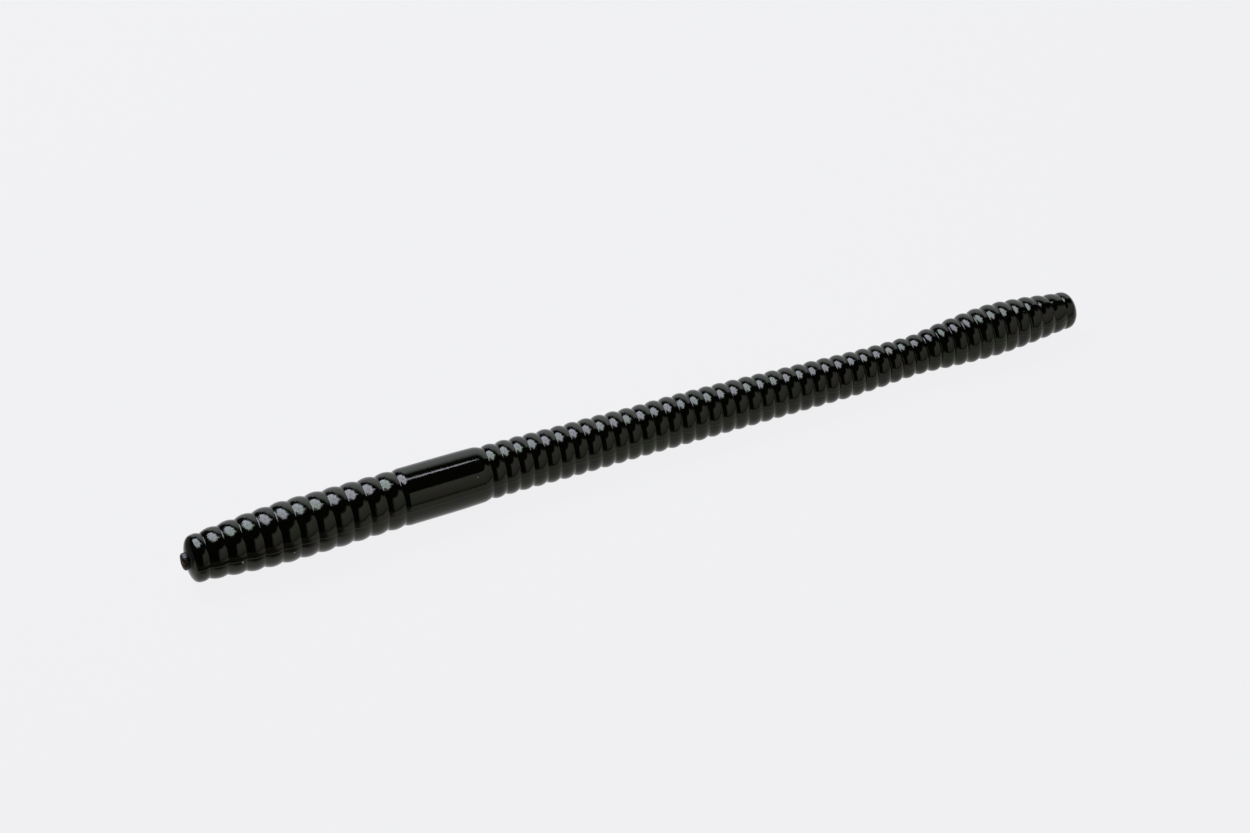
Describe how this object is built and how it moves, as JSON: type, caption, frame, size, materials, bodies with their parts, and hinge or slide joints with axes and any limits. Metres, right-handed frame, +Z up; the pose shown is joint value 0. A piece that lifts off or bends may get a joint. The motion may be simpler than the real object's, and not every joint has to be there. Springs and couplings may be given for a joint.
{
  "type": "soft plastic fishing worm",
  "caption": "Straight soft plastic fishing worm with a ringed head, a smooth collar, a finely ringed tapering body, a narrow waist and a swollen blunt tail.",
  "frame": {"origin": "middle of the underside, on the surface that the worm lies on", "axes": "+X along the worm from its nose to its tail, +Z up from the surface"},
  "size_m": [0.166, 0.0105, 0.0103],
  "materials": {
    "ribbed_plastisol": "gloss",
    "smooth_plastisol": "gloss",
    "torn_plastisol": "satin"
  },
  "bodies": {
    "nose": {"nose_cap": "ribbed_plastisol", "gate_nub": "torn_plastisol"},
    "head_segment_02": {"head_rib_02": "ribbed_plastisol"},
    "head_segment_03": {"head_rib_03": "ribbed_plastisol"},
    "head_segment_04": {"head_rib_04": "ribbed_plastisol"},
    "head_segment_05": {"head_rib_05": "ribbed_plastisol"},
    "head_segment_06": {"head_rib_06": "ribbed_plastisol"},
    "head_segment_07": {"head_rib_07": "ribbed_plastisol"},
    "head_segment_08": {"head_rib_08": "ribbed_plastisol"},
    "head_segment_09": {"head_rib_09": "ribbed_plastisol"},
    "head_segment_10": {"head_rib_10": "ribbed_plastisol"},
    "head_segment_11": {"head_rib_11": "ribbed_plastisol"},
    "head_segment_12": {"head_rib_12": "ribbed_plastisol"},
    "band": {"smooth_band": "smooth_plastisol"},
    "body_segment_01": {"body_rib_01": "ribbed_plastisol"},
    "body_segment_02": {"body_rib_02": "ribbed_plastisol"},
    "body_segment_03": {"body_rib_03": "ribbed_plastisol"},
    "body_segment_04": {"body_rib_04": "ribbed_plastisol"},
    "body_segment_05": {"body_rib_05": "ribbed_plastisol"},
    "body_segment_06": {"body_rib_06": "ribbed_plastisol"},
    "body_segment_07": {"body_rib_07": "ribbed_plastisol"},
    "body_segment_08": {"body_rib_08": "ribbed_plastisol"},
    "body_segment_09": {"body_rib_09": "ribbed_plastisol"},
    "body_segment_10": {"body_rib_10": "ribbed_plastisol"},
    "body_segment_11": {"body_rib_11": "ribbed_plastisol"},
    "body_segment_12": {"body_rib_12": "ribbed_plastisol"},
    "body_segment_13": {"body_rib_13": "ribbed_plastisol"},
    "body_segment_14": {"body_rib_14": "ribbed_plastisol"},
    "body_segment_15": {"body_rib_15": "ribbed_plastisol"},
    "body_segment_16": {"body_rib_16": "ribbed_plastisol"},
    "body_segment_17": {"body_rib_17": "ribbed_plastisol"},
    "body_segment_18": {"body_rib_18": "ribbed_plastisol"},
    "body_segment_19": {"body_rib_19": "ribbed_plastisol"},
    "body_segment_20": {"body_rib_20": "ribbed_plastisol"},
    "body_segment_21": {"body_rib_21": "ribbed_plastisol"},
    "body_segment_22": {"body_rib_22": "ribbed_plastisol"},
    "body_segment_23": {"body_rib_23": "ribbed_plastisol"},
    "body_segment_24": {"body_rib_24": "ribbed_plastisol"},
    "body_segment_25": {"body_rib_25": "ribbed_plastisol"},
    "body_segment_26": {"body_rib_26": "ribbed_plastisol"},
    "body_segment_27": {"body_rib_27": "ribbed_plastisol"},
    "body_segment_28": {"body_rib_28": "ribbed_plastisol"},
    "body_segment_29": {"body_rib_29": "ribbed_plastisol"},
    "body_segment_30": {"body_rib_30": "ribbed_plastisol"},
    "body_segment_31": {"body_rib_31": "ribbed_plastisol"},
    "body_segment_32": {"body_rib_32": "ribbed_plastisol"},
    "body_segment_33": {"body_rib_33": "ribbed_plastisol"},
    "body_segment_34": {"body_rib_34": "ribbed_plastisol"},
    "body_segment_35": {"body_rib_35": "ribbed_plastisol"},
    "body_segment_36": {"body_rib_36": "ribbed_plastisol"},
    "body_segment_37": {"body_rib_37": "ribbed_plastisol"},
    "body_segment_38": {"body_rib_38": "ribbed_plastisol"},
    "body_segment_39": {"body_rib_39": "ribbed_plastisol"},
    "body_segment_40": {"body_rib_40": "ribbed_plastisol"},
    "body_segment_41": {"body_rib_41": "ribbed_plastisol"},
    "body_segment_42": {"body_rib_42": "ribbed_plastisol"},
    "body_segment_43": {"body_rib_43": "ribbed_plastisol"},
    "body_segment_44": {"body_rib_44": "ribbed_plastisol"},
    "tail_end": {"tail_cap": "ribbed_plastisol"}
  },
  "joints": [
    {"name": "head_bend_side", "type": "hinge", "parent": "head_segment_12", "child": "head_segment_11", "pos_m": [-0.04833, 0.00016, 0.00498], "axis": [-0.0001, -0.0523, -0.9986], "range_deg": [-8, 8], "stiffness_Nm_per_rad": 0.0093},
    {"name": "head_bend_side_02", "type": "hinge", "parent": "head_segment_10", "child": "head_segment_09", "pos_m": [-0.05447, 0, 0.00507], "axis": [-0.0032, -0.0524, -0.9986], "range_deg": [-8, 8], "stiffness_Nm_per_rad": 0.01},
    {"name": "head_bend_side_03", "type": "hinge", "parent": "head_segment_07", "child": "head_segment_06", "pos_m": [-0.06368, -0.0001, 0.00514], "axis": [0.0136, -0.0521, -0.9985], "range_deg": [-8, 8], "stiffness_Nm_per_rad": 0.011},
    {"name": "head_bend_side_04", "type": "hinge", "parent": "head_segment_04", "child": "head_segment_03", "pos_m": [-0.07289, -0.00013, 0.00506], "axis": [0.0114, -0.0522, -0.9986], "range_deg": [-8, 8], "stiffness_Nm_per_rad": 0.0076},
    {"name": "head_bend_side_05", "type": "hinge", "parent": "head_segment_02", "child": "nose", "pos_m": [-0.07903, -0.00015, 0.00494], "axis": [0.0139, -0.0521, -0.9985], "range_deg": [-8, 8], "stiffness_Nm_per_rad": 0.0045},
    {"name": "head_bend_up", "type": "hinge", "parent": "head_segment_11", "child": "head_segment_10", "pos_m": [-0.0514, 0.00007, 0.00503], "axis": [-0.0372, 0.9979, -0.0523], "range_deg": [-8, 8], "stiffness_Nm_per_rad": 0.009},
    {"name": "head_bend_up_02", "type": "hinge", "parent": "head_segment_08", "child": "head_segment_07", "pos_m": [-0.06061, -0.00008, 0.00515], "axis": [-0.0228, 0.9984, -0.0523], "range_deg": [-8, 8], "stiffness_Nm_per_rad": 0.01},
    {"name": "head_bend_up_03", "type": "hinge", "parent": "head_segment_06", "child": "head_segment_05", "pos_m": [-0.06675, -0.00012, 0.00508], "axis": [-0.0157, 0.9985, -0.0523], "range_deg": [-8, 8], "stiffness_Nm_per_rad": 0.0097},
    {"name": "head_bend_up_04", "type": "hinge", "parent": "head_segment_03", "child": "head_segment_02", "pos_m": [-0.07596, -0.00014, 0.00504], "axis": [-0.0129, 0.9985, -0.0523], "range_deg": [-8, 8], "stiffness_Nm_per_rad": 0.0057},
    {"name": "worm_twist", "type": "hinge", "parent": "band", "child": "head_segment_12", "pos_m": [-0.04526, 0.00023, 0.00495], "axis": [-0.9996, -0.0297, -0.0019], "range_deg": [-7, 7], "stiffness_Nm_per_rad": 0.0041},
    {"name": "worm_twist_02", "type": "hinge", "parent": "body_segment_03", "child": "body_segment_04", "pos_m": [-0.02194, 0.00046, 0.00475], "axis": [0.9999, 0.0063, -0.0084], "range_deg": [-7, 7], "stiffness_Nm_per_rad": 0.0032},
    {"name": "worm_twist_03", "type": "hinge", "parent": "head_segment_09", "child": "head_segment_08", "pos_m": [-0.05754, -0.00005, 0.00511], "axis": [-0.9996, -0.0286, 0.0042], "range_deg": [-7, 7], "stiffness_Nm_per_rad": 0.0047},
    {"name": "worm_twist_04", "type": "hinge", "parent": "body_segment_07", "child": "body_segment_08", "pos_m": [-0.01198, 0.0004, 0.00459], "axis": [1, 0.0077, -0.0004], "range_deg": [-7, 7], "stiffness_Nm_per_rad": 0.0031},
    {"name": "worm_twist_05", "type": "hinge", "parent": "head_segment_05", "child": "head_segment_04", "pos_m": [-0.06982, -0.00013, 0.00506], "axis": [-0.9997, -0.0154, -0.0173], "range_deg": [-7, 7], "stiffness_Nm_per_rad": 0.0041},
    {"name": "worm_twist_06", "type": "hinge", "parent": "body_segment_11", "child": "body_segment_12", "pos_m": [-0.00202, 0.00036, 0.00447], "axis": [1, 0.007, 0.0025], "range_deg": [-7, 7], "stiffness_Nm_per_rad": 0.0028},
    {"name": "worm_twist_07", "type": "hinge", "parent": "body_segment_15", "child": "body_segment_16", "pos_m": [0.00794, 0.00028, 0.00446], "axis": [1, 0.0016, 0.0015], "range_deg": [-7, 7], "stiffness_Nm_per_rad": 0.0028},
    {"name": "worm_twist_08", "type": "hinge", "parent": "body_segment_19", "child": "body_segment_20", "pos_m": [0.0179, 0.00016, 0.00432], "axis": [1, 0, -0.0088], "range_deg": [-7, 7], "stiffness_Nm_per_rad": 0.0025},
    {"name": "worm_twist_09", "type": "hinge", "parent": "body_segment_23", "child": "body_segment_24", "pos_m": [0.02786, 0.00003, 0.00412], "axis": [1, -0.0004, -0.009], "range_deg": [-7, 7], "stiffness_Nm_per_rad": 0.002},
    {"name": "worm_twist_10", "type": "hinge", "parent": "body_segment_27", "child": "body_segment_28", "pos_m": [0.03782, -0.00007, 0.00396], "axis": [1, 0.0056, -0.0022], "range_deg": [-7, 7], "stiffness_Nm_per_rad": 0.0017},
    {"name": "worm_twist_11", "type": "hinge", "parent": "body_segment_31", "child": "body_segment_32", "pos_m": [0.04778, 0.00005, 0.00402], "axis": [0.9993, 0.0304, 0.0198], "range_deg": [-7, 7], "stiffness_Nm_per_rad": 0.0012},
    {"name": "worm_twist_12", "type": "hinge", "parent": "body_segment_35", "child": "body_segment_36", "pos_m": [0.05774, 0.00014, 0.00439], "axis": [0.9985, 0.0155, 0.0518], "range_deg": [-7, 7], "stiffness_Nm_per_rad": 0.0021},
    {"name": "worm_twist_13", "type": "hinge", "parent": "body_segment_39", "child": "body_segment_40", "pos_m": [0.0677, 0.00015, 0.00467], "axis": [0.9998, 0.013, 0.0146], "range_deg": [-7, 7], "stiffness_Nm_per_rad": 0.0032},
    {"name": "worm_twist_14", "type": "hinge", "parent": "body_segment_43", "child": "body_segment_44", "pos_m": [0.07766, 0.00016, 0.00444], "axis": [0.9997, 0.0128, -0.0197], "range_deg": [-7, 7], "stiffness_Nm_per_rad": 0.0013},
    {"name": "body_bend_up", "type": "hinge", "parent": "band", "child": "body_segment_01", "pos_m": [-0.02941, 0.00047, 0.00483], "axis": [0.0199, -0.9984, 0.0523], "range_deg": [-8, 8], "stiffness_Nm_per_rad": 0.0094},
    {"name": "body_bend_up_02", "type": "hinge", "parent": "body_segment_02", "child": "body_segment_03", "pos_m": [-0.02443, 0.00047, 0.0048], "axis": [0.0102, -0.9986, 0.0523], "range_deg": [-8, 8], "stiffness_Nm_per_rad": 0.0084},
    {"name": "body_bend_up_03", "type": "hinge", "parent": "body_segment_05", "child": "body_segment_06", "pos_m": [-0.01696, 0.00042, 0.00463], "axis": [0.0061, -0.9986, 0.0523], "range_deg": [-8, 8], "stiffness_Nm_per_rad": 0.0082},
    {"name": "body_bend_up_04", "type": "hinge", "parent": "body_segment_08", "child": "body_segment_09", "pos_m": [-0.00949, 0.00039, 0.00457], "axis": [0.008, -0.9986, 0.0523], "range_deg": [-8, 8], "stiffness_Nm_per_rad": 0.0079},
    {"name": "body_bend_up_05", "type": "hinge", "parent": "body_segment_10", "child": "body_segment_11", "pos_m": [-0.00451, 0.00037, 0.00449], "axis": [0.0078, -0.9986, 0.0523], "range_deg": [-8, 8], "stiffness_Nm_per_rad": 0.0074},
    {"name": "body_bend_up_06", "type": "hinge", "parent": "body_segment_13", "child": "body_segment_14", "pos_m": [0.00296, 0.00032, 0.00449], "axis": [0.0042, -0.9986, 0.0523], "range_deg": [-8, 8], "stiffness_Nm_per_rad": 0.0073},
    {"name": "body_bend_up_07", "type": "hinge", "parent": "body_segment_16", "child": "body_segment_17", "pos_m": [0.01043, 0.00025, 0.00443], "axis": [0.0007, -0.9986, 0.0523], "range_deg": [-8, 8], "stiffness_Nm_per_rad": 0.0071},
    {"name": "body_bend_up_08", "type": "hinge", "parent": "body_segment_18", "child": "body_segment_19", "pos_m": [0.01541, 0.00019, 0.00437], "axis": [0.0004, -0.9986, 0.0523], "range_deg": [-8, 8], "stiffness_Nm_per_rad": 0.0067},
    {"name": "body_bend_up_09", "type": "hinge", "parent": "body_segment_21", "child": "body_segment_22", "pos_m": [0.02288, 0.0001, 0.00422], "axis": [0.0001, -0.9986, 0.0523], "range_deg": [-8, 8], "stiffness_Nm_per_rad": 0.0058},
    {"name": "body_bend_side", "type": "hinge", "parent": "body_segment_01", "child": "body_segment_02", "pos_m": [-0.02692, 0.00048, 0.00483], "axis": [0.005, 0.0524, 0.9986], "range_deg": [-8, 8], "stiffness_Nm_per_rad": 0.0085},
    {"name": "body_bend_side_02", "type": "hinge", "parent": "body_segment_04", "child": "body_segment_05", "pos_m": [-0.01945, 0.00044, 0.00469], "axis": [0.0133, 0.0524, 0.9985], "range_deg": [-8, 8], "stiffness_Nm_per_rad": 0.0082},
    {"name": "body_bend_side_03", "type": "hinge", "parent": "body_segment_06", "child": "body_segment_07", "pos_m": [-0.01447, 0.00041, 0.0046], "axis": [0.0049, 0.0524, 0.9986], "range_deg": [-8, 8], "stiffness_Nm_per_rad": 0.0081},
    {"name": "body_bend_side_04", "type": "hinge", "parent": "body_segment_09", "child": "body_segment_10", "pos_m": [-0.007, 0.00038, 0.00453], "axis": [0.0038, 0.0524, 0.9986], "range_deg": [-8, 8], "stiffness_Nm_per_rad": 0.0077},
    {"name": "body_bend_side_05", "type": "hinge", "parent": "body_segment_12", "child": "body_segment_13", "pos_m": [0.00047, 0.00034, 0.00448], "axis": [-0.0095, 0.0523, 0.9986], "range_deg": [-8, 8], "stiffness_Nm_per_rad": 0.0072},
    {"name": "body_bend_side_06", "type": "hinge", "parent": "body_segment_14", "child": "body_segment_15", "pos_m": [0.00545, 0.0003, 0.00448], "axis": [-0.0069, 0.0523, 0.9986], "range_deg": [-8, 8], "stiffness_Nm_per_rad": 0.0073},
    {"name": "body_bend_side_07", "type": "hinge", "parent": "body_segment_17", "child": "body_segment_18", "pos_m": [0.01292, 0.00022, 0.0044], "axis": [0.0037, 0.0523, 0.9986], "range_deg": [-8, 8], "stiffness_Nm_per_rad": 0.0069},
    {"name": "body_bend_side_08", "type": "hinge", "parent": "body_segment_20", "child": "body_segment_21", "pos_m": [0.02039, 0.00013, 0.00427], "axis": [0.011, 0.0523, 0.9986], "range_deg": [-8, 8], "stiffness_Nm_per_rad": 0.0061},
    {"name": "body_bend_side_09", "type": "hinge", "parent": "body_segment_22", "child": "body_segment_23", "pos_m": [0.02537, 0.00006, 0.00417], "axis": [0.0106, 0.0523, 0.9986], "range_deg": [-8, 8], "stiffness_Nm_per_rad": 0.0056},
    {"name": "tail_bend_up", "type": "hinge", "parent": "body_segment_24", "child": "body_segment_25", "pos_m": [0.03035, 0, 0.00408], "axis": [0.0005, -0.9986, 0.0523], "range_deg": [-8, 8], "stiffness_Nm_per_rad": 0.0052},
    {"name": "tail_bend_up_02", "type": "hinge", "parent": "body_segment_26", "child": "body_segment_27", "pos_m": [0.03533, -0.00005, 0.00399], "axis": [0.0024, -0.9986, 0.0523], "range_deg": [-8, 8], "stiffness_Nm_per_rad": 0.0048},
    {"name": "tail_bend_up_03", "type": "hinge", "parent": "body_segment_29", "child": "body_segment_30", "pos_m": [0.0428, -0.00005, 0.00398], "axis": [0.0205, -0.9984, 0.0523], "range_deg": [-8, 8], "stiffness_Nm_per_rad": 0.0039},
    {"name": "tail_bend_up_04", "type": "hinge", "parent": "body_segment_32", "child": "body_segment_33", "pos_m": [0.05027, 0.00009, 0.00405], "axis": [0.026, -0.9983, 0.0523], "range_deg": [-8, 8], "stiffness_Nm_per_rad": 0.003},
    {"name": "tail_bend_up_05", "type": "hinge", "parent": "body_segment_34", "child": "body_segment_35", "pos_m": [0.05525, 0.00013, 0.00429], "axis": [0.0152, -0.9985, 0.0523], "range_deg": [-8, 8], "stiffness_Nm_per_rad": 0.0044},
    {"name": "tail_bend_up_06", "type": "hinge", "parent": "body_segment_37", "child": "body_segment_38", "pos_m": [0.06272, 0.00015, 0.0046], "axis": [0.0112, -0.9986, 0.0523], "range_deg": [-8, 8], "stiffness_Nm_per_rad": 0.0078},
    {"name": "tail_bend_up_07", "type": "hinge", "parent": "body_segment_40", "child": "body_segment_41", "pos_m": [0.07019, 0.00015, 0.00463], "axis": [0.0127, -0.9985, 0.0523], "range_deg": [-8, 8], "stiffness_Nm_per_rad": 0.0074},
    {"name": "tail_bend_up_08", "type": "hinge", "parent": "body_segment_42", "child": "body_segment_43", "pos_m": [0.07517, 0.00016, 0.00453], "axis": [0.0136, -0.9985, 0.0523], "range_deg": [-8, 8], "stiffness_Nm_per_rad": 0.0048},
    {"name": "tail_bend_side", "type": "hinge", "parent": "body_segment_25", "child": "body_segment_26", "pos_m": [0.03284, -0.00003, 0.00404], "axis": [0.0092, 0.0523, 0.9986], "range_deg": [-8, 8], "stiffness_Nm_per_rad": 0.0047},
    {"name": "tail_bend_side_02", "type": "hinge", "parent": "body_segment_28", "child": "body_segment_29", "pos_m": [0.04031, -0.00008, 0.00395], "axis": [-0.0086, 0.0522, 0.9986], "range_deg": [-8, 8], "stiffness_Nm_per_rad": 0.004},
    {"name": "tail_bend_side_03", "type": "hinge", "parent": "body_segment_30", "child": "body_segment_31", "pos_m": [0.04529, 0, 0.00401], "axis": [-0.0195, 0.0518, 0.9985], "range_deg": [-8, 8], "stiffness_Nm_per_rad": 0.0034},
    {"name": "tail_bend_side_04", "type": "hinge", "parent": "body_segment_33", "child": "body_segment_34", "pos_m": [0.05276, 0.00012, 0.00417], "axis": [-0.0447, 0.0514, 0.9977], "range_deg": [-8, 8], "stiffness_Nm_per_rad": 0.0032},
    {"name": "tail_bend_side_05", "type": "hinge", "parent": "body_segment_36", "child": "body_segment_37", "pos_m": [0.06023, 0.00014, 0.00449], "axis": [-0.0514, 0.0517, 0.9973], "range_deg": [-8, 8], "stiffness_Nm_per_rad": 0.0064},
    {"name": "tail_bend_side_06", "type": "hinge", "parent": "body_segment_38", "child": "body_segment_39", "pos_m": [0.06521, 0.00015, 0.00467], "axis": [-0.0325, 0.0519, 0.9981], "range_deg": [-8, 8], "stiffness_Nm_per_rad": 0.0081},
    {"name": "tail_bend_side_07", "type": "hinge", "parent": "body_segment_41", "child": "body_segment_42", "pos_m": [0.07268, 0.00015, 0.0046], "axis": [0.0097, 0.0525, 0.9986], "range_deg": [-8, 8], "stiffness_Nm_per_rad": 0.0059},
    {"name": "tail_bend_side_08", "type": "hinge", "parent": "body_segment_44", "child": "tail_end", "pos_m": [0.08015, 0.00016, 0.00438], "axis": [0.0098, 0.0525, 0.9986], "range_deg": [-8, 8], "stiffness_Nm_per_rad": 0.0023}
  ],
  "couplings": [
    {"joint": "head_bend_side_02", "follows": "head_bend_side", "ratio": 1},
    {"joint": "head_bend_side_03", "follows": "head_bend_side", "ratio": 1},
    {"joint": "head_bend_side_04", "follows": "head_bend_side", "ratio": 1},
    {"joint": "head_bend_side_05", "follows": "head_bend_side", "ratio": 1},
    {"joint": "head_bend_up_02", "follows": "head_bend_up", "ratio": 1},
    {"joint": "head_bend_up_03", "follows": "head_bend_up", "ratio": 1},
    {"joint": "head_bend_up_04", "follows": "head_bend_up", "ratio": 1},
    {"joint": "worm_twist_02", "follows": "worm_twist", "ratio": 1},
    {"joint": "worm_twist_03", "follows": "worm_twist", "ratio": 1},
    {"joint": "worm_twist_04", "follows": "worm_twist", "ratio": 1},
    {"joint": "worm_twist_05", "follows": "worm_twist", "ratio": 1},
    {"joint": "worm_twist_06", "follows": "worm_twist", "ratio": 1},
    {"joint": "worm_twist_07", "follows": "worm_twist", "ratio": 1},
    {"joint": "worm_twist_08", "follows": "worm_twist", "ratio": 1},
    {"joint": "worm_twist_09", "follows": "worm_twist", "ratio": 1},
    {"joint": "worm_twist_10", "follows": "worm_twist", "ratio": 1},
    {"joint": "worm_twist_11", "follows": "worm_twist", "ratio": 1},
    {"joint": "worm_twist_12", "follows": "worm_twist", "ratio": 1},
    {"joint": "worm_twist_13", "follows": "worm_twist", "ratio": 1},
    {"joint": "worm_twist_14", "follows": "worm_twist", "ratio": 1},
    {"joint": "body_bend_up_02", "follows": "body_bend_up", "ratio": 1},
    {"joint": "body_bend_up_03", "follows": "body_bend_up", "ratio": 1},
    {"joint": "body_bend_up_04", "follows": "body_bend_up", "ratio": 1},
    {"joint": "body_bend_up_05", "follows": "body_bend_up", "ratio": 1},
    {"joint": "body_bend_up_06", "follows": "body_bend_up", "ratio": 1},
    {"joint": "body_bend_up_07", "follows": "body_bend_up", "ratio": 1},
    {"joint": "body_bend_up_08", "follows": "body_bend_up", "ratio": 1},
    {"joint": "body_bend_up_09", "follows": "body_bend_up", "ratio": 1},
    {"joint": "body_bend_side_02", "follows": "body_bend_side", "ratio": 1},
    {"joint": "body_bend_side_03", "follows": "body_bend_side", "ratio": 1},
    {"joint": "body_bend_side_04", "follows": "body_bend_side", "ratio": 1},
    {"joint": "body_bend_side_05", "follows": "body_bend_side", "ratio": 1},
    {"joint": "body_bend_side_06", "follows": "body_bend_side", "ratio": 1},
    {"joint": "body_bend_side_07", "follows": "body_bend_side", "ratio": 1},
    {"joint": "body_bend_side_08", "follows": "body_bend_side", "ratio": 1},
    {"joint": "body_bend_side_09", "follows": "body_bend_side", "ratio": 1},
    {"joint": "tail_bend_up_02", "follows": "tail_bend_up", "ratio": 1},
    {"joint": "tail_bend_up_03", "follows": "tail_bend_up", "ratio": 1},
    {"joint": "tail_bend_up_04", "follows": "tail_bend_up", "ratio": 1},
    {"joint": "tail_bend_up_05", "follows": "tail_bend_up", "ratio": 1},
    {"joint": "tail_bend_up_06", "follows": "tail_bend_up", "ratio": 1},
    {"joint": "tail_bend_up_07", "follows": "tail_bend_up", "ratio": 1},
    {"joint": "tail_bend_up_08", "follows": "tail_bend_up", "ratio": 1},
    {"joint": "tail_bend_side_02", "follows": "tail_bend_side", "ratio": 1},
    {"joint": "tail_bend_side_03", "follows": "tail_bend_side", "ratio": 1},
    {"joint": "tail_bend_side_04", "follows": "tail_bend_side", "ratio": 1},
    {"joint": "tail_bend_side_05", "follows": "tail_bend_side", "ratio": 1},
    {"joint": "tail_bend_side_06", "follows": "tail_bend_side", "ratio": 1},
    {"joint": "tail_bend_side_07", "follows": "tail_bend_side", "ratio": 1},
    {"joint": "tail_bend_side_08", "follows": "tail_bend_side", "ratio": 1}
  ]
}
